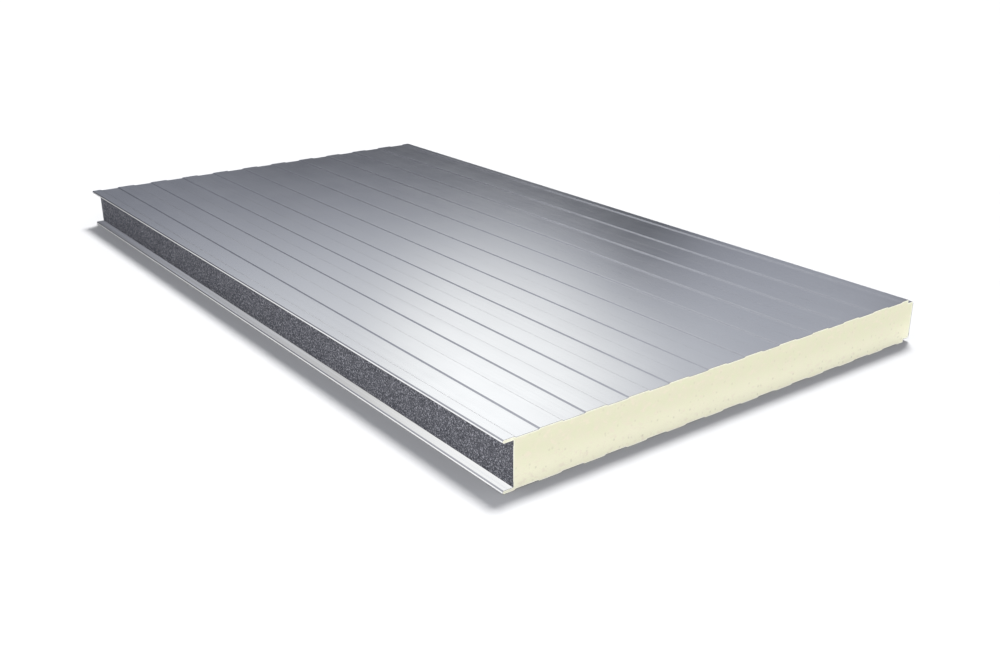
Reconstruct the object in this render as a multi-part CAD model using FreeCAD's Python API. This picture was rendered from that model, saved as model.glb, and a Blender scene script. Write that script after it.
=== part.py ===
"""Insulated sandwich panel: two micro-ribbed steel facings on a rigid foam core.

The section lies in the XZ plane and runs along Y. X is worked out from the tips
of the lips (X = 0) and Z from the underside, and each solid is then moved so that
the origin lies at the middle of the panel's underside. All lengths are in mm.
"""

import FreeCAD, Part

import math
import os

# ---- driving dimensions ------------------------------------------------------

PANEL_LENGTH = 2000.0
PANEL_THICKNESS = 100.0
SHEET_THICKNESS = 0.5

# Shallow bands rolled into both facings. Widths run from flank middle to middle.
BAND_PITCH = 100.0
BAND_COUNT = 11
RECESS_WIDTH = 50.0
RECESS_DEPTH = 2.0
FLANK_WIDTH = 3.0
FLANK_BEND_RADIUS = 1.0

# Groove side: two foam-filled lips with the side tape set back between them.
FIRST_FLANK = 26.0
LIP_REACH = 21.0
LIP_THICKNESS = 7.0
LIP_NOSE_RADIUS = 3.0

# Tongue side: the facings step in to ledges that take the next panel's lips.
LAP_CLEARANCE = 0.5
JOINT_GAP = 2.0
STEP_BEND_RADIUS = 2.0
TONGUE_NOSE_RADIUS = 4.0

# Each facing ends in a short leg turned in behind the side tape.
LEG_LENGTH = 10.0
FOLD_RADIUS = 0.5
TAPE_THICKNESS = 1.0

# ---- places worked out from them ----------------------------------------------

COVER_WIDTH = BAND_PITCH * BAND_COUNT
GROOVE_FACE = LIP_REACH
GROOVE_SIDE = GROOVE_FACE + TAPE_THICKNESS
TONGUE_FACE = COVER_WIDTH + LIP_REACH - JOINT_GAP
TONGUE_SIDE = TONGUE_FACE - TAPE_THICKNESS

TOP = PANEL_THICKNESS
LIP_UNDERSIDE = TOP - LIP_THICKNESS
LEDGE_LEVEL = LIP_UNDERSIDE - LAP_CLEARANCE
GROOVE_LEG_END = LIP_UNDERSIDE - LEG_LENGTH
TONGUE_LEG_END = LEDGE_LEVEL - LEG_LENGTH

TINY = 1e-6


# ---- section geometry ----------------------------------------------------------


def band_corners():
    """Corners of the recessed bands along the top face, from left to right."""
    corners = []
    half_flank = FLANK_WIDTH / 2
    for band in range(BAND_COUNT):
        left = FIRST_FLANK + band * BAND_PITCH
        right = left + RECESS_WIDTH
        for x, z in (
            (left - half_flank, TOP),
            (left + half_flank, TOP - RECESS_DEPTH),
            (right - half_flank, TOP - RECESS_DEPTH),
            (right + half_flank, TOP),
        ):
            corners.append((x, z, FLANK_BEND_RADIUS))
    return corners


def facing_corners():
    """Outer face of the upper facing, as (x, z, radius of the bend's inside)."""
    groove_end = [
        (GROOVE_SIDE, GROOVE_LEG_END, 0.0),
        (GROOVE_SIDE, LIP_UNDERSIDE, FOLD_RADIUS),
        (0.0, LIP_UNDERSIDE, LIP_NOSE_RADIUS - SHEET_THICKNESS),
        (0.0, TOP, LIP_NOSE_RADIUS - SHEET_THICKNESS),
    ]
    tongue_end = [
        (COVER_WIDTH, TOP, STEP_BEND_RADIUS - SHEET_THICKNESS),
        (COVER_WIDTH, LEDGE_LEVEL, FOLD_RADIUS),
        (TONGUE_SIDE, LEDGE_LEVEL, TONGUE_NOSE_RADIUS - SHEET_THICKNESS),
        (TONGUE_SIDE, TONGUE_LEG_END, 0.0),
    ]
    return groove_end + band_corners() + tongue_end


def unit(start, end):
    """Direction from one section point to the next."""
    dx, dz = end[0] - start[0], end[1] - start[1]
    length = math.hypot(dx, dz)
    return dx / length, dz / length


def shifted(corners, inward):
    """The same run of corners, moved inward (to its right) and still parallel.

    A bend keeps its inside radius on the side towards its centre, and has one
    sheet thickness more on the other side.
    """
    moved = []
    last = len(corners) - 1
    for index, (x, z, inside_radius) in enumerate(corners):
        before = unit(corners[max(index - 1, 0)], corners[max(index, 1)])
        after = unit(corners[min(index, last - 1)], corners[min(index + 1, last)])
        turn = before[0] * after[1] - before[1] * after[0]
        spread = 1 + before[0] * after[0] + before[1] * after[1]
        new_x = x + inward * (before[1] + after[1]) / spread
        new_z = z - inward * (before[0] + after[0]) / spread
        turns_left = turn > TINY
        outside = turns_left == (inward > 0)
        radius = inside_radius + (SHEET_THICKNESS if outside else 0.0)
        moved.append((new_x, new_z, radius if abs(turn) > TINY else 0.0))
    return moved


def mirrored(corners):
    """The run of corners turned over about the panel's middle plane, backwards."""
    return [(x, PANEL_THICKNESS - z, radius) for x, z, radius in reversed(corners)]


def vector(x, z):
    """A point of the section at the panel's middle."""
    return FreeCAD.Vector(x, 0.0, z)


def closed_wire(corners):
    """A closed wire through the corners, each rounded by its own radius."""
    edges = []
    count = len(corners)
    arcs = [bend_arc(corners, index) for index in range(count)]
    for index in range(count):
        start, middle, end = arcs[index]
        if middle is not None:
            edges.append(Part.Arc(start, middle, end).toShape())
        following = arcs[(index + 1) % count][0]
        if end.distanceToPoint(following) > TINY:
            edges.append(Part.LineSegment(end, following).toShape())
    return Part.Wire(edges)


def bend_arc(corners, index):
    """Start, middle and end of the arc at one corner. A sharp one has no middle."""
    x, z, radius = corners[index]
    corner = vector(x, z)
    if radius < TINY:
        return corner, None, corner
    before = unit(corners[index - 1], corners[index])
    after = unit(corners[index], corners[(index + 1) % len(corners)])
    cosine = before[0] * after[0] + before[1] * after[1]
    turn = math.acos(max(-1.0, min(1.0, cosine)))
    setback = radius * math.tan(turn / 2)
    start = corner - vector(*before) * setback
    end = corner + vector(*after) * setback
    inward = vector(*after) - vector(*before)
    inward.normalize()
    sagitta = radius / math.cos(turn / 2) - radius
    return start, corner + inward * sagitta, end


def along_length(corners):
    """The solid whose section has these corners, over the panel's full length."""
    face = Part.Face(closed_wire(corners))
    solid = face.extrude(FreeCAD.Vector(0.0, PANEL_LENGTH, 0.0))
    solid.translate(FreeCAD.Vector(-TONGUE_FACE / 2, -PANEL_LENGTH / 2, 0.0))
    return solid


# ---- pieces ---------------------------------------------------------------------


def facing_section():
    """Section of the upper facing: its outer face out, its inner face back."""
    outer = shifted(facing_corners(), 0.0)
    inner = shifted(facing_corners(), SHEET_THICKNESS)
    return outer + list(reversed(inner))


def top_sheet():
    """Upper profiled steel facing."""
    return along_length(facing_section())


def bottom_sheet():
    """Lower facing, the same profile turned over."""
    return along_length(mirrored(facing_section()))


def foam_core():
    """Rigid foam that fills the facings, the lips and the tongue."""
    groove_corner = (GROOVE_SIDE, GROOVE_LEG_END, 0.0)
    tongue_corner = (TONGUE_SIDE, TONGUE_LEG_END, 0.0)
    inner = shifted(facing_corners(), SHEET_THICKNESS)
    upper_half = [groove_corner] + inner + [tongue_corner]
    return along_length(upper_half + mirrored(upper_half))


def side_tape(outer_x, inner_x, end_level):
    """Tape over one side of the core, up to end_level and as far down."""
    upper_half = [(outer_x, end_level, 0.0), (inner_x, end_level, 0.0)]
    return along_length(upper_half + mirrored(upper_half))


def groove_tape():
    """Side tape between the two lips."""
    return side_tape(GROOVE_FACE, GROOVE_SIDE, LIP_UNDERSIDE - FOLD_RADIUS)


def tongue_tape():
    """Side tape over the nose of the tongue."""
    return side_tape(TONGUE_FACE, TONGUE_SIDE, LEDGE_LEVEL - TONGUE_NOSE_RADIUS)


PIECES = (top_sheet, bottom_sheet, foam_core, groove_tape, tongue_tape)


def main():
    """Build each piece and write it to its own STEP file."""
    os.makedirs("parts", exist_ok=True)
    for piece in PIECES:
        shape = piece()
        shape.exportStep("parts/" + piece.__name__ + ".step")
        print(piece.__name__, shape.isValid(), round(shape.Volume / 1000.0, 2), "cm3")


main()
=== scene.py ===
"""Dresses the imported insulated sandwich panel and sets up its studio.

Lengths are metres in the panel's own frame: X runs across the panel from the
groove side to the tongue side, Y along it, and Z up from the floor.
"""

import logging
import math
from dataclasses import dataclass, field
from enum import Enum

import bmesh
import bpy
from mathutils import Euler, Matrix, Vector, kdtree, noise


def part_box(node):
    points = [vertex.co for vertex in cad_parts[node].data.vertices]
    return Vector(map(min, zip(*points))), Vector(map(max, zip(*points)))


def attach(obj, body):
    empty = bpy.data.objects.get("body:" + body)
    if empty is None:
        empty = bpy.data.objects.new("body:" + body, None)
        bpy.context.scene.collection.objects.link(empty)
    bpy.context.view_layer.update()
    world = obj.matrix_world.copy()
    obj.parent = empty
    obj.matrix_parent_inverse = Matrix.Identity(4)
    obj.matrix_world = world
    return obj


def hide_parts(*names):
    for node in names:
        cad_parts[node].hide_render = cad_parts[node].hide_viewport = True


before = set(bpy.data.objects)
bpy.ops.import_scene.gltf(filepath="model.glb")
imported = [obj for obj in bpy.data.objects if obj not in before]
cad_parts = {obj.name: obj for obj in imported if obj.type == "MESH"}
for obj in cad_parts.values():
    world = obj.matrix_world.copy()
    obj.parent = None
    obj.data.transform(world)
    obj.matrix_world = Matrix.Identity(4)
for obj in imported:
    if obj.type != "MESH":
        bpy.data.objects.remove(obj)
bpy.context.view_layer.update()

log = logging.getLogger("panel")

Colour = tuple[float, float, float]
Size = tuple[float, float, float]
Place = tuple[float, float, float]
Span = tuple[float, float]
Socket = bpy.types.NodeSocket
Sockets = bpy.types.bpy_prop_collection
Feed = Socket | float | Colour

MM = 0.001
# Points closer than WELD are one, and edges that bend by less than FLAT_ANGLE
# radians lie in one flat face.
WELD = 1e-6
FLAT_ANGLE = 0.002
# How squarely a face has to look along Y to be an end face.
END_FACING = 0.9
# How far apart the two tapes' grains are drawn.
SEED_STEP = 0.37
WHITE: Colour = (1.0, 1.0, 1.0)
ROOT_BODY = "root"
EDGE_ATTRIBUTE = "edge"
GRAIN_ATTRIBUTE = "grain"

# The Mix node's colour sockets, which come after those for numbers and vectors.
MIX_MASK, MIX_FIRST, MIX_SECOND, MIX_COLOUR = 0, 6, 7, 2


class Slot(Enum):
    """The record's material slots for the scene's own pieces, which nothing here
    assigns.
    """

    FOAM = "rigid_foam"
    TAPE = "side_tape"


class FacingSide(Enum):
    """The two steel facings, by the names of their CAD nodes."""

    UPPER = "top_sheet"
    LOWER = "bottom_sheet"


class TapeSide(Enum):
    """The two side tapes, by the names of their CAD nodes."""

    GROOVE = "groove_tape"
    TONGUE = "tongue_tape"


class PanelEnd(Enum):
    """The panel's two sawn ends, by the way each faces along Y."""

    NEAR = -1
    FAR = 1


# --------------------------------------------------------------------------
# Node wiring
# --------------------------------------------------------------------------


def opaque(colour: Colour) -> tuple[float, float, float, float]:
    """Gives a colour full opacity."""
    return (*colour, 1.0)


def shade(colour: Colour, share: float) -> Colour:
    """Darkens a colour to a share of itself."""
    red, green, blue = colour
    return (share * red, share * green, share * blue)


class Wiring:
    """Adds nodes to one node tree and joins them."""

    def __init__(self, tree: bpy.types.NodeTree) -> None:
        """Keeps the tree that the nodes go into."""
        self.tree = tree

    def add(
        self,
        kind: str,
        feeds: dict[str | int, Feed] | None = None,
        **settings: str | bool,
    ) -> bpy.types.Node:
        """Adds one node.

        Args:
            kind: The node type's name after "ShaderNode".
            feeds: A socket or a plain value for each input to be set.
            settings: The node's own options.

        Returns:
            The new node.
        """
        node = self.tree.nodes.new("ShaderNode" + kind)
        for name, value in settings.items():
            setattr(node, name, value)
        for name, value in (feeds or {}).items():
            self.feed(node.inputs[name], value)
        return node

    def feed(self, socket: Socket, value: Feed) -> None:
        """Joins a socket to an input, or sets the input's plain value.

        Args:
            socket: The input.
            value: A socket, a number, a vector or a colour.
        """
        if isinstance(value, Socket):
            self.tree.links.new(value, socket)
        else:
            socket.default_value = opaque(value) if socket.type == "RGBA" else value

    def maths(self, operation: str, first: Feed, second: Feed = 0.0) -> Socket:
        """Adds a Math node.

        Args:
            operation: The Math node's operation.
            first: Its first input, a socket or a number.
            second: Its second input, a socket or a number.

        Returns:
            The output socket.
        """
        node = self.add("Math", {0: first, 1: second}, operation=operation)
        return node.outputs[0]

    def cloud(self, place: Socket, density: Feed, detail: Feed) -> Socket:
        """Adds a cloudy noise.

        Args:
            place: The socket with the place that it is read at.
            density: How many of its clouds fit in one unit of place.
            detail: How many finer layers it has.

        Returns:
            The output socket, with values round 0.5.
        """
        feeds = {"Vector": place, "Scale": density, "Detail": detail}
        return self.add("TexNoise", feeds).outputs[0]

    def remap(
        self,
        value: Socket,
        low: float,
        high: float,
        start: float = 0.0,
        end: float = 1.0,
    ) -> Socket:
        """Maps a value smoothly from one range to another, and holds its ends.

        Args:
            value: The socket to read.
            low: The value that gives start.
            high: The value that gives end.
            start: The result at low.
            end: The result at high.

        Returns:
            The output socket.
        """
        node = self.add(
            "MapRange",
            {
                "Value": value,
                "From Min": low,
                "From Max": high,
                "To Min": start,
                "To Max": end,
            },
            interpolation_type="SMOOTHSTEP",
        )
        return node.outputs["Result"]

    def blend(self, mask: Socket, first: Feed, second: Feed) -> Socket:
        """Mixes two colours.

        Args:
            mask: 0 gives the first colour and 1 the second.
            first: A colour or a socket.
            second: A colour or a socket.

        Returns:
            The output socket.
        """
        feeds = {MIX_MASK: mask, MIX_FIRST: first, MIX_SECOND: second}
        return self.add("Mix", feeds, data_type="RGBA").outputs[MIX_COLOUR]

    def effect(self, tree: bpy.types.NodeTree, feeds: dict[str, Feed]) -> Sockets:
        """Places a node group.

        Args:
            tree: The group to place.
            feeds: A socket or a plain value for each of its inputs.

        Returns:
            The group node's outputs.
        """
        node = self.tree.nodes.new("ShaderNodeGroup")
        node.node_tree = tree
        for name, value in feeds.items():
            self.feed(node.inputs[name], value)
        return node.outputs


@dataclass
class Effect:
    """A shader effect with named inputs and outputs, built as a node group.

    The default of an input says what it carries: a number, or three numbers for
    a vector. Inputs and outputs whose names start with "Colour" hold colours.
    """

    name: str
    inputs: dict[str, float | Size | Colour]
    outputs: tuple[str, ...]
    tree: bpy.types.NodeTree = field(init=False)
    wiring: Wiring = field(init=False)
    given: Sockets = field(init=False)

    def __post_init__(self) -> None:
        """Makes the empty group and its sockets."""
        self.tree = bpy.data.node_groups.new(self.name, "ShaderNodeTree")
        for name, default in self.inputs.items():
            kind = "NodeSocketFloat"
            if name.startswith("Colour"):
                kind = "NodeSocketColor"
                default = opaque(default)
            elif isinstance(default, tuple):
                kind = "NodeSocketVector"
            socket = self.tree.interface.new_socket(
                name=name, in_out="INPUT", socket_type=kind
            )
            socket.default_value = default
        for name in self.outputs:
            kind = "NodeSocketColor" if name.startswith("Colour") else "NodeSocketFloat"
            self.tree.interface.new_socket(
                name=name, in_out="OUTPUT", socket_type=kind
            )
        self.wiring = Wiring(self.tree)
        self.given = self.tree.nodes.new("NodeGroupInput").outputs

    def close(self, results: dict[str, Socket]) -> bpy.types.NodeTree:
        """Joins the results to the group's outputs.

        Args:
            results: The socket for each output.

        Returns:
            The finished group.
        """
        last = self.tree.nodes.new("NodeGroupOutput")
        for name, socket in results.items():
            self.tree.links.new(socket, last.inputs[name])
        return self.tree


@dataclass
class Effects:
    """The shader effects that the panel's finishes share.

    A span gives where a mask is 0 and where it is 1, and levels give what a mask
    runs between where that isn't 0 to 1.
    """

    cell_span: Span = (0.5, 0.15)
    drift_detail: float = 3.0
    drift_span: Span = (0.35, 0.65)
    wear_detail: float = 4.0
    wear_span: Span = (0.3, 0.6)
    wear_levels: Span = (0.4, 1.0)
    dust_detail: float = 5.0
    dust_span: Span = (0.3, 0.7)
    dust_lean_span: Span = (-0.2, 0.9)
    dust_lean_levels: Span = (0.3, 1.0)
    grain: bpy.types.NodeTree = field(init=False)
    pits: bpy.types.NodeTree = field(init=False)
    drift: bpy.types.NodeTree = field(init=False)
    wear: bpy.types.NodeTree = field(init=False)
    dust: bpy.types.NodeTree = field(init=False)

    def __post_init__(self) -> None:
        """Builds each group once."""
        self.grain = self._grain()
        self.pits = self._pits()
        self.drift = self._drift()
        self.wear = self._wear()
        self.dust = self._dust()

    def _grain(self) -> bpy.types.NodeTree:
        """Builds grain of any size in each direction: streaks, mottling, specks.

        Returns:
            The finished group.
        """
        effect = Effect(
            "Grain",
            {
                "Place": (0.0, 0.0, 0.0),
                "Size": (0.01, 0.01, 0.01),
                "Detail": 2.0,
                "Contrast": 1.0,
            },
            ("Value",),
        )
        wire, given = effect.wiring, effect.given
        cell = wire.add(
            "VectorMath", {0: given["Place"], 1: given["Size"]}, operation="DIVIDE"
        ).outputs[0]
        value = wire.cloud(cell, 1.0, given["Detail"])
        spread = wire.maths("SUBTRACT", value, 0.5)
        spread = wire.maths("MULTIPLY", spread, given["Contrast"])
        node = wire.add("Math", {0: spread, 1: 0.5}, operation="ADD", use_clamp=True)
        return effect.close({"Value": node.outputs[0]})

    def _pits(self) -> bpy.types.NodeTree:
        """Builds open cells: a mask that is 1 in the middle of each.

        Returns:
            The finished group.
        """
        effect = Effect(
            "Open cells",
            {"Place": (0.0, 0.0, 0.0), "Size": 0.002, "Share": 0.3},
            ("Mask", "Height"),
        )
        wire, given = effect.wiring, effect.given
        density = wire.maths("DIVIDE", 1.0, given["Size"])
        cells = wire.add("TexVoronoi", {"Vector": given["Place"], "Scale": density})
        middle = wire.remap(cells.outputs["Distance"], *self.cell_span)
        chance = wire.add("SeparateColor", {0: cells.outputs["Color"]}).outputs[0]
        chosen = wire.maths("LESS_THAN", chance, given["Share"])
        mask = wire.maths("MULTIPLY", middle, chosen)
        return effect.close({"Mask": mask, "Height": wire.maths("SUBTRACT", 1.0, mask)})

    def _drift(self) -> bpy.types.NodeTree:
        """Builds a slow drift between two colours over the surface.

        Returns:
            The finished group.
        """
        effect = Effect(
            "Colour drift",
            {
                "Place": (0.0, 0.0, 0.0),
                "Size": 0.1,
                "Colour": (0.5, 0.5, 0.5),
                "Colour drifted": (0.4, 0.4, 0.4),
            },
            ("Colour",),
        )
        wire, given = effect.wiring, effect.given
        density = wire.maths("DIVIDE", 1.0, given["Size"])
        value = wire.cloud(given["Place"], density, self.drift_detail)
        mask = wire.remap(value, *self.drift_span)
        return effect.close(
            {"Colour": wire.blend(mask, given["Colour"], given["Colour drifted"])}
        )

    def _wear(self) -> bpy.types.NodeTree:
        """Builds broken wear along edges, from a mask of where the edges are.

        Returns:
            The finished group.
        """
        effect = Effect(
            "Edge wear",
            {"Place": (0.0, 0.0, 0.0), "Edge": 0.0, "Size": 0.01, "Amount": 0.5},
            ("Mask",),
        )
        wire, given = effect.wiring, effect.given
        density = wire.maths("DIVIDE", 1.0, given["Size"])
        value = wire.cloud(given["Place"], density, self.wear_detail)
        broken = wire.remap(value, *self.wear_span, *self.wear_levels)
        mask = wire.maths("MULTIPLY", broken, given["Edge"])
        return effect.close({"Mask": wire.maths("MULTIPLY", mask, given["Amount"])})

    def _dust(self) -> bpy.types.NodeTree:
        """Builds a thin film of dust that lies mostly on faces that look up.

        Returns:
            The finished group.
        """
        effect = Effect(
            "Dust film",
            {"Place": (0.0, 0.0, 0.0), "Size": 0.1, "Amount": 0.05},
            ("Mask",),
        )
        wire, given = effect.wiring, effect.given
        facing = wire.add("NewGeometry").outputs["Normal"]
        up = wire.add("SeparateXYZ", {0: facing}).outputs["Z"]
        lies = wire.remap(up, *self.dust_lean_span, *self.dust_lean_levels)
        density = wire.maths("DIVIDE", 1.0, given["Size"])
        patches = wire.cloud(given["Place"], density, self.dust_detail)
        film = wire.maths("MULTIPLY", wire.remap(patches, *self.dust_span), lies)
        return effect.close({"Mask": wire.maths("MULTIPLY", film, given["Amount"])})


# --------------------------------------------------------------------------
# Finishes
# --------------------------------------------------------------------------


@dataclass(frozen=True)
class Grain:
    """The size of a finish's grain in each direction, its detail and contrast."""

    size: Size
    detail: float
    contrast: float


@dataclass(frozen=True)
class Dust:
    """The size of a dust film's patches, how much of it lies, and its colour."""

    size: float
    amount: float
    colour: Colour


@dataclass(frozen=True)
class Relief:
    """How strong and how deep a finish's fine relief is."""

    strength: float
    depth: float


class Paint:
    """A material that is being wired up, with the shared effects at hand."""

    def __init__(self, name: str, effects: Effects) -> None:
        """Makes the material with a Principled shader and nothing joined to it.

        Args:
            name: The material's name.
            effects: The shared shader effects.
        """
        self.material = bpy.data.materials.new(name)
        self.material.use_nodes = True
        self.effects = effects
        self.wire = Wiring(self.material.node_tree)
        self.shader = self.material.node_tree.nodes["Principled BSDF"]
        self.place = self.wire.add("TexCoord").outputs["Object"]

    def grain(self, grain: Grain) -> Socket:
        """Places the grain effect.

        Args:
            grain: Its size, detail and contrast.

        Returns:
            The socket with its value.
        """
        feeds = {
            "Place": self.place,
            "Size": grain.size,
            "Detail": grain.detail,
            "Contrast": grain.contrast,
        }
        return self.wire.effect(self.effects.grain, feeds)["Value"]

    def drift(self, size: float, colour: Colour, drifted: Colour) -> Socket:
        """Places the slow drift between two colours.

        Args:
            size: The drift's size.
            colour: The first colour.
            drifted: The colour that it drifts to.

        Returns:
            The socket with the colour.
        """
        feeds = {
            "Place": self.place,
            "Size": size,
            "Colour": colour,
            "Colour drifted": drifted,
        }
        return self.wire.effect(self.effects.drift, feeds)["Colour"]

    def wear(self, edge: Socket, size: float, amount: float) -> Socket:
        """Places the edge wear.

        Args:
            edge: The socket with the mask of the edges.
            size: The size of the breaks in it.
            amount: How much of it shows.

        Returns:
            The socket with its mask.
        """
        feeds = {"Place": self.place, "Edge": edge, "Size": size, "Amount": amount}
        return self.wire.effect(self.effects.wear, feeds)["Mask"]

    def film(self, dust: Dust) -> Socket:
        """Places the dust film.

        Args:
            dust: Its size and amount.

        Returns:
            The socket with its mask.
        """
        feeds = {"Place": self.place, "Size": dust.size, "Amount": dust.amount}
        return self.wire.effect(self.effects.dust, feeds)["Mask"]

    def fleck(
        self, base: Socket, mask: Socket, amount: float, colour: Colour
    ) -> Socket:
        """Lays a thin colour over the masked parts of a base.

        Args:
            base: The socket with the base colour.
            mask: The socket with the mask.
            amount: How much of the colour shows where the mask is 1.
            colour: The colour.

        Returns:
            The socket with the result.
        """
        thin = self.wire.maths("MULTIPLY", mask, amount)
        return self.wire.blend(thin, base, colour)

    def close(
        self, colour: Socket, rough: Socket, height: Socket, relief: Relief
    ) -> bpy.types.Material:
        """Joins a finish's results to the shader.

        Args:
            colour: The socket with the base colour.
            rough: The socket with the roughness.
            height: The socket with the height of the fine relief.
            relief: How strong and deep that relief is.

        Returns:
            The finished material.
        """
        feeds = {
            "Strength": relief.strength,
            "Distance": relief.depth,
            "Height": height,
        }
        bump = self.wire.add("Bump", feeds).outputs[0]
        sockets = self.shader.inputs
        self.wire.feed(sockets["Base Color"], colour)
        self.wire.feed(sockets["Roughness"], rough)
        self.wire.feed(sockets["Normal"], bump)
        return self.material


@dataclass(frozen=True)
class Finish:
    """What every finish has.

    A finish's spans give where a mask is 0 and where it is 1, and its levels give
    what a value runs between.
    """

    name: str


@dataclass(frozen=True)
class CoatedSteel(Finish):
    """Satin silver coating on roll-formed galvanised steel.

    Lean spans say how far a face leans towards +X, or towards -X where they are
    below 0. The far shade colour and the shaded far bends are laid by place, in
    metres: the first is painted shade that darkens the lower lip along the panel,
    and the second is painted shade on the bends of the far tongue side, which
    keeps them from standing out.
    """

    colour: Colour = (0.685, 0.692, 0.705)
    drift_size: float = 0.35
    drift_share: float = 0.985
    # Painted shade: the colour that the base darkens to along Y, over the far shade
    # span.
    far_shade_colour: Colour | None = None
    far_shade_span: Span = (-1.15, -0.35)
    streaks: Grain = Grain((0.006, 1.2, 0.006), 4.0, 1.6)
    streak_colour: Colour = (0.670, 0.677, 0.691)
    streak_span: Span = (0.45, 0.95)
    bend_colour: Colour = (0.61, 0.61, 0.625)
    bend_wear_size: float = 0.03
    bend_wear_amount: float = 0.8
    rising_lean: Span = (-0.1, -0.4)
    falling_lean: Span = (0.1, 0.4)
    # Painted shade on the flanks that lean towards -X, on the far tongue side.
    far_bend_shade_colour: Colour = (0.34, 0.34, 0.36)
    far_bend_shade_across: Span = (-0.4, 0.35)
    far_bend_shade_along: Span = (-0.2, 0.6)
    far_bend_shade_lean: Span = (-0.02, -0.2)
    dust: Dust = Dust(0.08, 0.015, (0.55, 0.54, 0.52))
    rough_span: Span = (0.1, 0.9)
    rough_levels: Span = (0.13, 0.15)
    falling_roughness: float = 0.22
    peel: Grain = Grain((0.004, 0.006, 0.004), 2.0, 1.0)
    peel_share: float = 0.25
    relief: Relief = Relief(1.0, 0.003 * MM)

    def material(self, effects: Effects) -> bpy.types.Material:
        """Builds the material.

        Args:
            effects: The shared shader effects.

        Returns:
            The material.
        """
        paint = Paint(self.name, effects)
        wire = paint.wire
        where = wire.add("SeparateXYZ", {0: paint.place}).outputs
        facing = wire.add("NewGeometry").outputs["Normal"]
        lean = wire.add("SeparateXYZ", {0: facing}).outputs["X"]
        streaks = paint.grain(self.streaks)
        dust = paint.film(self.dust)

        colour = paint.drift(
            self.drift_size, self.colour, shade(self.colour, self.drift_share)
        )
        # Painted shade: where a far shade colour is given, the colour darkens along Y.
        if self.far_shade_colour is not None:
            far = wire.remap(where["Y"], *self.far_shade_span)
            colour = wire.blend(far, colour, self.far_shade_colour)
        streaked = wire.remap(streaks, *self.streak_span)
        colour = wire.blend(streaked, colour, self.streak_colour)
        rising = wire.remap(lean, *self.rising_lean)
        wear = paint.wear(rising, self.bend_wear_size, self.bend_wear_amount)
        colour = wire.blend(wear, colour, self.bend_colour)
        # Painted shade: flanks that lean towards -X darken on the far tongue side.
        far_bend_shade = wire.maths(
            "MULTIPLY",
            wire.remap(where["X"], *self.far_bend_shade_across),
            wire.remap(where["Y"], *self.far_bend_shade_along),
        )
        far_bend_shade = wire.maths("MULTIPLY", far_bend_shade, wire.remap(lean, *self.far_bend_shade_lean))
        colour = wire.blend(far_bend_shade, colour, self.far_bend_shade_colour)
        colour = wire.blend(dust, colour, self.dust.colour)

        rough = wire.remap(streaks, *self.rough_span, *self.rough_levels)
        rough = wire.maths("ADD", rough, dust)
        falling = wire.remap(lean, *self.falling_lean)
        scuffed = wire.maths("MULTIPLY", falling, self.falling_roughness)
        rough = wire.maths("MAXIMUM", rough, scuffed)
        paint.shader.inputs["Metallic"].default_value = 1.0

        peel = wire.maths("MULTIPLY", paint.grain(self.peel), self.peel_share)
        height = wire.maths("ADD", streaks, peel)
        return paint.close(colour, rough, height, self.relief)


@dataclass(frozen=True)
class CutFoam(Finish):
    """Sawn rigid foam with fine closed cells, and painted light that makes it paler
    towards the underside.
    """

    colour: Colour = (0.778, 0.748, 0.560)
    green_colour: Colour = (0.762, 0.757, 0.540)
    drift_size: float = 0.02
    # Painted light that makes the end paler towards the underside, against the floor's
    # shade.
    painted_low_light_colour: Colour = (0.985, 0.960, 0.735)
    painted_low_light_span: Span = (0.075, -0.005)
    blotches: Grain = Grain((0.012, 0.012, 0.009), 3.0, 2.2)
    blotch_colour: Colour = (0.855, 0.772, 0.620)
    blotch_span: Span = (0.6, 0.95)
    blotch_amount: float = 0.5
    cells: Grain = Grain((0.0016, 0.0016, 0.0016), 2.0, 2.0)
    cell_span: Span = (0.5, 1.0)
    cell_amount: float = 0.25
    pit_colour: Colour = (0.690, 0.660, 0.490)
    pit_size: float = 0.007
    pit_share: float = 0.12
    pit_amount: float = 0.6
    rim_colour: Colour = (0.99, 0.98, 0.87)
    rim_wear_size: float = 0.02
    rim_wear_amount: float = 1.0
    dust: Dust = Dust(0.05, 0.04, (0.8, 0.78, 0.7))
    rough_levels: Span = (0.82, 0.95)
    specular_level: float = 0.25
    pit_relief: float = 1.5
    relief: Relief = Relief(0.6, 0.2 * MM)

    def material(self, effects: Effects) -> bpy.types.Material:
        """Builds the material.

        Args:
            effects: The shared shader effects.

        Returns:
            The material.
        """
        paint = Paint(self.name, effects)
        wire = paint.wire
        cells = paint.grain(self.cells)
        pits = wire.effect(
            effects.pits,
            {"Place": paint.place, "Size": self.pit_size, "Share": self.pit_share},
        )

        colour = paint.drift(self.drift_size, self.colour, self.green_colour)
        height = wire.add("SeparateXYZ", {0: paint.place}).outputs["Z"]
        # Painted light: the end turns paler towards the underside, to even out the
        # floor's shade.
        low = wire.remap(height, *self.painted_low_light_span)
        colour = wire.blend(low, colour, self.painted_low_light_colour)
        blotches = wire.remap(paint.grain(self.blotches), *self.blotch_span)
        colour = paint.fleck(colour, blotches, self.blotch_amount, self.blotch_colour)
        open_cells = wire.remap(cells, *self.cell_span)
        colour = paint.fleck(colour, open_cells, self.cell_amount, self.pit_colour)
        colour = paint.fleck(colour, pits["Mask"], self.pit_amount, self.pit_colour)
        edge = wire.add("Attribute", attribute_name=EDGE_ATTRIBUTE).outputs["Fac"]
        rim = paint.wear(edge, self.rim_wear_size, self.rim_wear_amount)
        colour = wire.blend(rim, colour, self.rim_colour)
        colour = wire.blend(paint.film(self.dust), colour, self.dust.colour)

        rough = wire.remap(cells, 0.0, 1.0, *self.rough_levels)
        paint.shader.inputs["Specular IOR Level"].default_value = self.specular_level
        sunk = wire.maths("MULTIPLY", pits["Height"], self.pit_relief)
        return paint.close(colour, rough, wire.maths("ADD", cells, sunk), self.relief)


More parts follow.
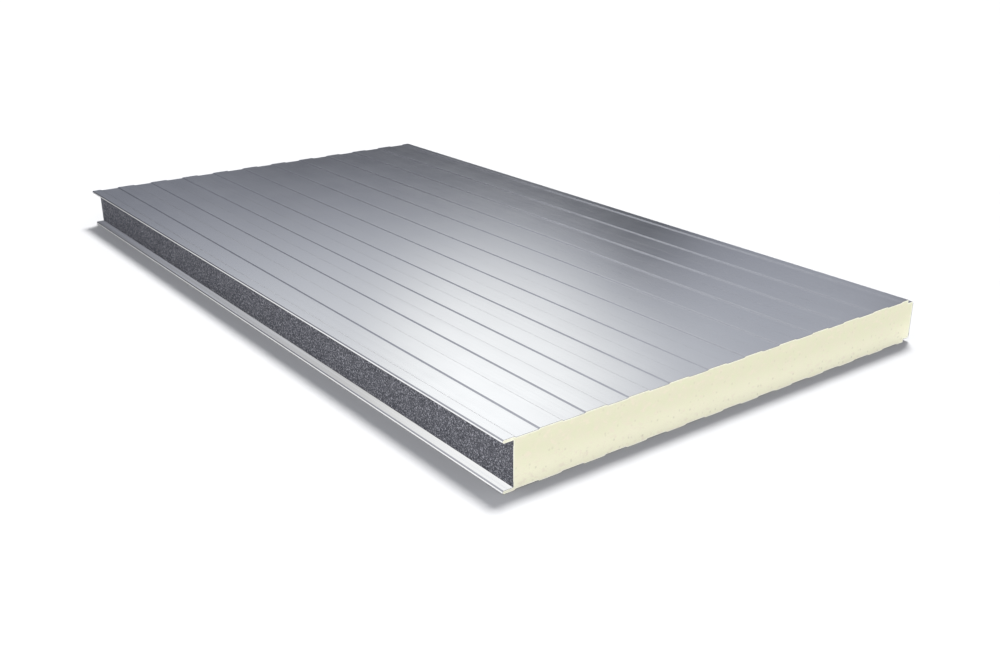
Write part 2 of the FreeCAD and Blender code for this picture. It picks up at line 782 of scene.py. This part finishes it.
@dataclass(frozen=True)
class GrainyTape(Finish):
    """Dark grey sealing tape with a grainy face."""

    colour: Colour = (0.090, 0.092, 0.105)
    drift_size: float = 0.03
    drift_share: float = 0.85
    # Painted shade where the grain's relief sinks.
    hollow_shade_colour: Colour = (0.045, 0.046, 0.056)
    hollow_shade_span: Span = (0.45, 0.1)
    specks: Grain = Grain((0.0024, 0.0024, 0.0024), 1.0, 2.4)
    speck_colour: Colour = (0.41, 0.41, 0.45)
    speck_span: Span = (0.5, 0.95)
    crest_span: Span = (0.1, 0.9)
    crest_levels: Span = (0.35, 1.0)
    dust: Dust = Dust(0.04, 0.08, (0.4, 0.4, 0.4))
    rough_levels: Span = (0.95, 0.8)
    relief: Relief = Relief(0.5, 0.5 * MM)

    def material(self, effects: Effects) -> bpy.types.Material:
        """Builds the material.

        Args:
            effects: The shared shader effects.

        Returns:
            The material.
        """
        paint = Paint(self.name, effects)
        wire = paint.wire
        grain = wire.add("Attribute", attribute_name=GRAIN_ATTRIBUTE).outputs["Fac"]
        specks = paint.grain(self.specks)

        colour = paint.drift(
            self.drift_size, self.colour, shade(self.colour, self.drift_share)
        )
        # Painted shade: darker where the grain's relief sinks.
        hollow_shade = wire.remap(grain, *self.hollow_shade_span)
        colour = wire.blend(hollow_shade, colour, self.hollow_shade_colour)
        raised = wire.maths(
            "MULTIPLY",
            wire.remap(grain, *self.crest_span, *self.crest_levels),
            wire.remap(specks, *self.speck_span),
        )
        colour = wire.blend(raised, colour, self.speck_colour)
        colour = wire.blend(paint.film(self.dust), colour, self.dust.colour)

        rough = wire.remap(specks, 0.0, 1.0, *self.rough_levels)
        paint.shader.inputs["Specular IOR Level"].default_value = 0.0
        return paint.close(colour, rough, specks, self.relief)


# --------------------------------------------------------------------------
# The panel
# --------------------------------------------------------------------------


def piece_from(bm: bmesh.types.BMesh, name: str) -> bpy.types.Object:
    """Turns a built mesh into an object of the scene.

    Args:
        bm: The mesh, which is freed.
        name: The piece's name.

    Returns:
        The object.
    """
    mesh = bpy.data.meshes.new(name)
    bm.to_mesh(mesh)
    bm.free()
    piece = bpy.data.objects.new(name, mesh)
    bpy.context.scene.collection.objects.link(piece)
    return piece


def keep_out_of_gloss(thing: bpy.types.Object) -> None:
    """Leaves a piece, a lamp or the floor out of what glossy surfaces mirror."""
    thing.visible_glossy = False


def stand_in(piece: bpy.types.Object, node: str) -> None:
    """Makes a piece ride on the panel in a CAD node's place.

    Args:
        piece: The piece.
        node: The CAD node that it stands for.
    """
    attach(piece, ROOT_BODY)
    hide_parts(node)
    keep_out_of_gloss(piece)


@dataclass
class Facing:
    """One profiled steel facing, which keeps its CAD shape."""

    side: FacingSide

    def build(self, steel: bpy.types.Material) -> bpy.types.Object:
        """Dresses the facing.

        Args:
            steel: The facing's material.

        Returns:
            The CAD node's object.
        """
        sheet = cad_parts[self.side.value]
        for slot in sheet.material_slots:
            slot.material = steel
        keep_out_of_gloss(sheet)
        return sheet


def soft_noise(spot: Vector) -> float:
    """Gives a smooth noise from 0 to 1."""
    return 0.5 + 0.5 * noise.noise(spot)


@dataclass
class EndFace:
    """A flat end face divided into small cells.

    It holds the points, each cell's points in turn, and the outline's edges, with
    the points given by number.
    """

    spots: list[Vector]
    cells: list[list[int]]
    rim: list[tuple[int, int]]

    def fades(self, width: float) -> list[float]:
        """Gives how far in from the outline each point lies.

        Args:
            width: The distance from the outline's points that counts as 1.

        Returns:
            A value for each point, from 0 on the outline up to 1.
        """
        near = kdtree.KDTree(len(self.rim))
        for start, _ in self.rim:
            near.insert(self.spots[start], start)
        near.balance()
        fades = [min(near.find(spot)[2] / width, 1.0) for spot in self.spots]
        for start, stop in self.rim:
            fades[start] = fades[stop] = 0.0
        return fades


@dataclass
class FoamCore:
    """The rigid foam core, whose two ends are sawn.

    The sawn face sinks from nothing at its outline to its full depth a rim's width
    in. The end and pit draws are numbers that make each end and each pit differ.
    """

    node: str = "foam_core"
    cell: float = 2.5 * MM
    rim: float = 3.0 * MM
    saw_wave: float = 0.25 * MM
    saw_wave_length: float = 40 * MM
    crumble: float = 0.14 * MM
    crumble_size: float = 5 * MM
    pit_depth: float = 0.8 * MM
    pit_spacing: float = 14 * MM
    pit_radius: float = 2.6 * MM
    pit_share: float = 0.35
    pit_draw: float = 7.3
    end_draw: float = 3.1

    def build(self, foam: bpy.types.Material) -> bpy.types.Object:
        """Builds the core with its sawn ends.

        Args:
            foam: The core's material.

        Returns:
            The new piece.
        """
        face = self._end_face()
        fades = face.fades(self.rim)
        low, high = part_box(self.node)
        bm = bmesh.new()
        bm.verts.layers.float.new(EDGE_ATTRIBUTE)
        first = self._sawn(bm, face, fades, PanelEnd.NEAR, low.y)
        last = self._sawn(bm, face, fades, PanelEnd.FAR, high.y)
        for start, stop in face.rim:
            side = bm.faces.new((first[stop], first[start], last[start], last[stop]))
            for edge in side.edges:
                edge.smooth = False
        bmesh.ops.recalc_face_normals(bm, faces=bm.faces[:])
        piece = piece_from(bm, "foam_block")
        piece.data.materials.append(foam)
        stand_in(piece, self.node)
        # The core throws no tint of its own on the floor and the tape.
        piece.visible_diffuse = False
        return piece

    def _sawn(
        self,
        bm: bmesh.types.BMesh,
        face: EndFace,
        fades: list[float],
        end: PanelEnd,
        y: float,
    ) -> list[bmesh.types.BMVert]:
        """Adds one sawn end to the core's mesh.

        Args:
            bm: The mesh.
            face: The flat end face.
            fades: How much of its depth each point sinks by.
            end: Which end.
            y: The place of that end's flat face.

        Returns:
            The end's points.
        """
        layer = bm.verts.layers.float[EDGE_ATTRIBUTE]
        verts = []
        for spot, fade in zip(face.spots, fades):
            depth = fade * self._depth(spot, end)
            vert = bm.verts.new((spot.x, y - end.value * depth, spot.z))
            vert[layer] = 1.0 - fade
            verts.append(vert)
        for cell in face.cells:
            loop = [verts[i] for i in cell]
            if end is PanelEnd.FAR:
                loop.reverse()
            bm.faces.new(loop).smooth = True
        return verts

    def _end_face(self) -> EndFace:
        """Divides the core's flat end face into small cells.

        Returns:
            The divided face.
        """
        solid = bmesh.new()
        solid.from_mesh(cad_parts[self.node].data)
        bmesh.ops.remove_doubles(solid, verts=solid.verts[:], dist=WELD)
        bmesh.ops.dissolve_limit(
            solid, angle_limit=FLAT_ANGLE, verts=solid.verts[:], edges=solid.edges[:]
        )
        face = next(f for f in solid.faces if f.normal.y < -END_FACING)
        outline = [v.co.copy() for v in face.verts]
        solid.free()
        flat = bmesh.new()
        flat.faces.new([flat.verts.new(co) for co in outline])
        for axis in (Vector((1, 0, 0)), Vector((0, 0, 1))):
            places = [co.dot(axis) for co in outline]
            mark = (math.floor(min(places) / self.cell) + 1) * self.cell
            while mark < max(places):
                bmesh.ops.bisect_plane(
                    flat,
                    geom=[*flat.verts, *flat.edges, *flat.faces],
                    dist=WELD,
                    plane_co=axis * mark,
                    plane_no=axis,
                )
                mark += self.cell
        flat.verts.index_update()
        spots = [v.co.copy() for v in flat.verts]
        cells = [[v.index for v in f.verts] for f in flat.faces]
        rim = [
            (e.verts[0].index, e.verts[1].index) for e in flat.edges if e.is_boundary
        ]
        flat.free()
        return EndFace(spots, cells, rim)

    def _depth(self, co: Vector, end: PanelEnd) -> float:
        """Gives how far below the outline's plane the sawn face lies.

        Args:
            co: A point of the end face.
            end: Which end.

        Returns:
            The depth, never below 0.
        """
        spot = Vector((co.x, self.end_draw * end.value, co.z))
        wave = soft_noise(spot / self.saw_wave_length)
        crumble = soft_noise(spot / self.crumble_size)
        distances, points = noise.voronoi(spot / self.pit_spacing)
        chance = noise.cell(points[0] * self.pit_draw)
        pit = 0.0
        if chance < self.pit_share:
            pit = max(0.0, 1.0 - distances[0] * self.pit_spacing / self.pit_radius)
        return self.saw_wave * wave + self.crumble * crumble + self.pit_depth * pit


@dataclass
class SideTape:
    """One grainy side tape on a long side of the core.

    Its grain is a coarse noise and a share of a finer one, which is read at another
    place so that the two don't line up.
    """

    side: TapeSide
    cell: float = 2.0 * MM
    grain: float = 4.5 * MM
    relief: float = 0.45 * MM
    coarse_share: float = 0.75
    fine_share: float = 0.35
    fine_scale: float = 2.1
    fine_shift: Place = (5.0, 3.0, 1.0)
    seed: float = 0.0

    def build(self, tape: bpy.types.Material) -> bpy.types.Object:
        """Builds the tape with its grainy face.

        Args:
            tape: The tape's material.

        Returns:
            The new piece.
        """
        low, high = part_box(self.side.value)
        bm = bmesh.new()
        grid = self._face(bm, low, high)
        self._body(bm, grid, low, high)
        bmesh.ops.recalc_face_normals(bm, faces=bm.faces[:])
        piece = piece_from(bm, self.side.name.lower() + "_side_tape")
        piece.data.materials.append(tape)
        stand_in(piece, self.side.value)
        return piece

    def _face(
        self, bm: bmesh.types.BMesh, low: Vector, high: Vector
    ) -> list[list[bmesh.types.BMVert]]:
        """Adds the grainy face to the tape's mesh.

        Args:
            bm: The mesh.
            low: The tape's lowest corner.
            high: The tape's highest corner.

        Returns:
            The face's points, in rows along the panel from the lowest up.
        """
        face_x = low.x if self._outward < 0 else high.x
        rows = round((high.z - low.z) / self.cell)
        columns = round((high.y - low.y) / self.cell)
        layer = bm.verts.layers.float.new(GRAIN_ATTRIBUTE)
        grid = []
        for j in range(rows + 1):
            z = low.z + (high.z - low.z) * j / rows
            line = []
            for i in range(columns + 1):
                y = low.y + (high.y - low.y) * i / columns
                height = self._height(y, z)
                on_rim = i in (0, columns) or j in (0, rows)
                depth = 0.0 if on_rim else self.relief * (1.0 - height)
                vert = bm.verts.new((face_x - self._outward * depth, y, z))
                vert[layer] = height
                line.append(vert)
            grid.append(line)
        for j in range(rows):
            for i in range(columns):
                quad = (grid[j][i], grid[j + 1][i], grid[j + 1][i + 1], grid[j][i + 1])
                bm.faces.new(quad if self._outward < 0 else quad[::-1]).smooth = True
        return grid

    def _body(
        self,
        bm: bmesh.types.BMesh,
        grid: list[list[bmesh.types.BMVert]],
        low: Vector,
        high: Vector,
    ) -> None:
        """Closes the tape behind its face with four sides and a flat back.

        Args:
            bm: The tape's mesh.
            grid: The face's points.
            low: The tape's lowest corner.
            high: The tape's highest corner.
        """
        back_x = high.x if self._outward < 0 else low.x
        corners = [
            bm.verts.new((back_x, y, z))
            for y, z in (
                (low.y, low.z),
                (high.y, low.z),
                (high.y, high.z),
                (low.y, high.z),
            )
        ]
        rims = (
            grid[0],
            [line[-1] for line in grid],
            grid[-1][::-1],
            [line[0] for line in grid][::-1],
        )
        for k, rim in enumerate(rims):
            bm.faces.new([*rim, corners[(k + 1) % len(corners)], corners[k]])
        bm.faces.new(corners)

    @property
    def _outward(self) -> int:
        """Gives the way along X that the tape's face looks."""
        return -1 if self.side is TapeSide.GROOVE else 1

    def _height(self, y: float, z: float) -> float:
        """Gives the height of the grain at a point of the face.

        Args:
            y: The place along the panel.
            z: The place above the floor.

        Returns:
            The height, from 0 to 1.
        """
        spot = Vector((self.seed, y, z)) / self.grain
        coarse = noise.noise(spot)
        fine = noise.noise(spot * self.fine_scale + Vector(self.fine_shift))
        height = 0.5 + self.coarse_share * coarse + self.fine_share * fine
        return min(1.0, max(0.0, height))


# --------------------------------------------------------------------------
# The studio
# --------------------------------------------------------------------------


@dataclass(frozen=True)
class SoftPatch:
    """A soft bright patch of the studio's surroundings.

    Angles are in degrees: heading turns from +Y towards +X, and height is above
    the horizon. The patch fades from its core radius out to its rim radius.
    """

    heading: float
    height: float
    rim: float
    core: float
    strength: float

    def centre(self) -> Vector:
        """Gives the direction of the patch's middle."""
        return heading_vector(self.heading, self.height)


def heading_vector(heading: float, height: float) -> Vector:
    """Turns a heading and a height above the horizon into a direction.

    Args:
        heading: Degrees from +Y towards +X.
        height: Degrees above the horizon.

    Returns:
        The unit vector.
    """
    turn, lift = math.radians(heading), math.radians(height)
    return Vector(
        (
            math.sin(turn) * math.cos(lift),
            math.cos(turn) * math.cos(lift),
            math.sin(lift),
        )
    )


@dataclass
class Studio:
    """The floor, the surroundings, the two lamps and the camera.

    The sky brightens from the horizon's level to its own, between two heights that
    are 0 at the horizon and 1 overhead. The back patches take the sky's cool tint
    where they are dim, and the white ones don't. Angles are in degrees.
    """

    floor_colour: Colour = (0.55, 0.55, 0.55)
    floor_radius: float = 60.0
    floor_sides: int = 96
    horizon_level: float = 0.033
    sky_level: float = 0.235
    horizon_end: float = 0.213
    sky_start: float = 0.473
    dim_tint: Colour = (0.945, 1.0, 1.20)
    bright_tint: Colour = (0.99, 1.0, 1.0)
    dim_level: float = -0.1
    bright_level: float = 1.3
    back_patches: tuple[SoftPatch, ...] = (
        SoftPatch(29.2, 34.0, 23.5, 7.8, 0.80),
        SoftPatch(37.8, 23.5, 8.9, 0.0, 0.47),
        SoftPatch(52.3, 21.4, 9.2, 0.6, 0.39),
        SoftPatch(309.2, 50.8, 41.5, 19.7, 0.49),
        SoftPatch(10.3, 10.0, 16.7, 0.0, 0.18),
    )
    front_patch: SoftPatch = SoftPatch(188.0, 10.0, 39.0, 0.0, 2.72)
    front_in_gloss: float = 0.25
    white_patches: tuple[SoftPatch, ...] = (
        SoftPatch(125.0, 32.0, 48.0, 0.0, 0.6),
        SoftPatch(305.0, -30.0, 52.0, 18.0, 1.5),
        SoftPatch(46.0, -21.0, 32.0, 5.0, 1.15),
        SoftPatch(252.0, 22.0, 50.0, 12.0, 0.22),
        SoftPatch(80.0, 14.0, 28.0, 8.0, 0.18),
    )
    key_heading: float = 54.0
    key_height: float = 59.0
    key_width: float = 15.5
    key_level: float = 1.50
    fill_place: Place = (-2.2, -1.05, 0.25)
    fill_aim: Place = (-0.55, -0.60, 0.05)
    fill_width: float = 0.6
    fill_power: float = 14.5
    camera_place: Place = (-1.51903, -2.26673, 0.91809)
    camera_heading: float = 36.9947
    camera_drop: float = 21.7236
    camera_lens: float = 39.92
    camera_sensor: float = 36.0
    camera_reach: float = 200.0

    def build(self) -> None:
        """Sets up everything round the panel."""
        self._floor()
        self._surroundings()
        self._key()
        self._fill()
        self._camera()

    def _floor(self) -> None:
        """Lays a wide, flat, pale floor."""
        bm = bmesh.new()
        bmesh.ops.create_circle(
            bm, cap_ends=True, segments=self.floor_sides, radius=self.floor_radius
        )
        floor = piece_from(bm, "studio_floor")
        material = bpy.data.materials.new("Studio floor")
        material.use_nodes = True
        shader = material.node_tree.nodes["Principled BSDF"]
        shader.inputs["Base Color"].default_value = opaque(self.floor_colour)
        shader.inputs["Roughness"].default_value = 1.0
        shader.inputs["Specular IOR Level"].default_value = 0.0
        floor.data.materials.append(material)
        keep_out_of_gloss(floor)

    def _surroundings(self) -> None:
        """Lights the world with a plain sky and its soft patches.

        The camera sees plain white in their place, and glossy surfaces mirror the
        front patch dimmed, so that steel seen from the far end stays grey.
        """
        world = bpy.data.worlds.new("Studio surroundings")
        bpy.context.scene.world = world
        world.use_nodes = True
        wire = Wiring(world.node_tree)
        direction = wire.add("TexCoord").outputs["Generated"]
        sky = self._sky(wire, direction)
        rays = wire.add("LightPath").outputs
        white = wire.maths(
            "MULTIPLY",
            self._glow(wire, direction, self.front_patch),
            wire.remap(rays["Is Glossy Ray"], 0.0, 1.0, 1.0, self.front_in_gloss),
        )
        for patch in self.white_patches:
            white = wire.maths("ADD", white, self._glow(wire, direction, patch))
        total = wire.add("VectorMath", {0: sky, 1: white}, operation="ADD").outputs[0]
        background = world.node_tree.nodes["Background"]
        shown = wire.blend(rays["Is Camera Ray"], total, WHITE)
        wire.feed(background.inputs["Color"], shown)

    def _sky(self, wire: Wiring, direction: Socket) -> Socket:
        """Wires the tinted sky with its back patches.

        Args:
            wire: The world's wiring.
            direction: The socket with the direction looked in.

        Returns:
            The socket with its colour.
        """
        height = wire.add("SeparateXYZ", {0: direction}).outputs["Z"]
        level = wire.remap(
            height,
            self.horizon_end,
            self.sky_start,
            self.horizon_level,
            self.sky_level,
        )
        for patch in self.back_patches:
            level = wire.maths("ADD", level, self._glow(wire, direction, patch))
        tint = wire.blend(
            wire.remap(level, self.dim_level, self.bright_level),
            self.dim_tint,
            self.bright_tint,
        )
        feeds = {0: tint, "Scale": level}
        return wire.add("VectorMath", feeds, operation="SCALE").outputs[0]

    @staticmethod
    def _glow(wire: Wiring, direction: Socket, patch: SoftPatch) -> Socket:
        """Wires one soft patch.

        Args:
            wire: The world's wiring.
            direction: The socket with the direction looked in.
            patch: The patch.

        Returns:
            The socket with the patch's level.
        """
        cosine = wire.add(
            "VectorMath",
            {0: direction, 1: tuple(patch.centre())},
            operation="DOT_PRODUCT",
        ).outputs["Value"]
        return wire.remap(
            cosine,
            math.cos(math.radians(patch.rim)),
            math.cos(math.radians(patch.core)),
            0.0,
            patch.strength,
        )

    def _key(self) -> None:
        """Hangs the broad key lamp behind the panel, to the right."""
        lamp = bpy.data.lights.new("Key lamp", "SUN")
        lamp.energy = self.key_level * math.pi
        lamp.angle = math.radians(self.key_width)
        key = bpy.data.objects.new("Key lamp", lamp)
        key.rotation_euler = (
            heading_vector(self.key_heading, self.key_height)
            .to_track_quat("Z", "Y")
            .to_euler()
        )
        keep_out_of_gloss(key)
        bpy.context.scene.collection.objects.link(key)

    def _fill(self) -> None:
        """Stands a square soft lamp off the near groove corner."""
        lamp = bpy.data.lights.new("Fill lamp", "AREA")
        lamp.size = self.fill_width
        lamp.energy = self.fill_power
        fill = bpy.data.objects.new("Fill lamp", lamp)
        fill.location = self.fill_place
        aim = Vector(self.fill_aim) - Vector(self.fill_place)
        fill.rotation_euler = aim.to_track_quat("-Z", "Y").to_euler()
        fill.visible_camera = False
        keep_out_of_gloss(fill)
        bpy.context.scene.collection.objects.link(fill)

    def _camera(self) -> None:
        """Stands the camera off the groove side's near corner."""
        data = bpy.data.cameras.new("Camera")
        data.lens = self.camera_lens
        data.sensor_width = self.camera_sensor
        data.clip_end = self.camera_reach
        camera = bpy.data.objects.new("Camera", data)
        camera.location = self.camera_place
        camera.rotation_euler = Euler(
            (
                math.radians(90.0 - self.camera_drop),
                0.0,
                -math.radians(self.camera_heading),
            )
        )
        bpy.context.scene.collection.objects.link(camera)
        bpy.context.scene.camera = camera


def report(piece: bpy.types.Object) -> None:
    """Logs one piece and its number of faces."""
    log.info("%s: %d faces", piece.name, len(piece.data.polygons))


def main() -> None:
    """Builds and dresses the panel, then its studio."""
    logging.basicConfig(level=logging.INFO, format="%(name)s: %(message)s")
    effects = Effects()
    steel = {
        FacingSide.UPPER: CoatedSteel("Silver coated steel").material(effects),
        # The lower facing is a lit and shaded copy of the steel: painted light makes it
        # paler at the near end, and painted shade darkens it along the panel.
        FacingSide.LOWER: CoatedSteel(
            "Silver coated steel, lower facing",
            colour=(0.76, 0.762, 0.765),
            far_shade_colour=(0.535, 0.525, 0.515),
        ).material(effects),
    }
    foam = CutFoam("Sawn rigid foam").material(effects)
    tape = GrainyTape("Grainy side tape").material(effects)
    for side in FacingSide:
        report(Facing(side).build(steel[side]))
    report(FoamCore().build(foam))
    for seed, side in enumerate(TapeSide):
        report(SideTape(side, seed=SEED_STEP * seed).build(tape))
    Studio().build()
    bpy.context.scene.view_settings.view_transform = "Standard"


if __name__ == "__main__":
    main()
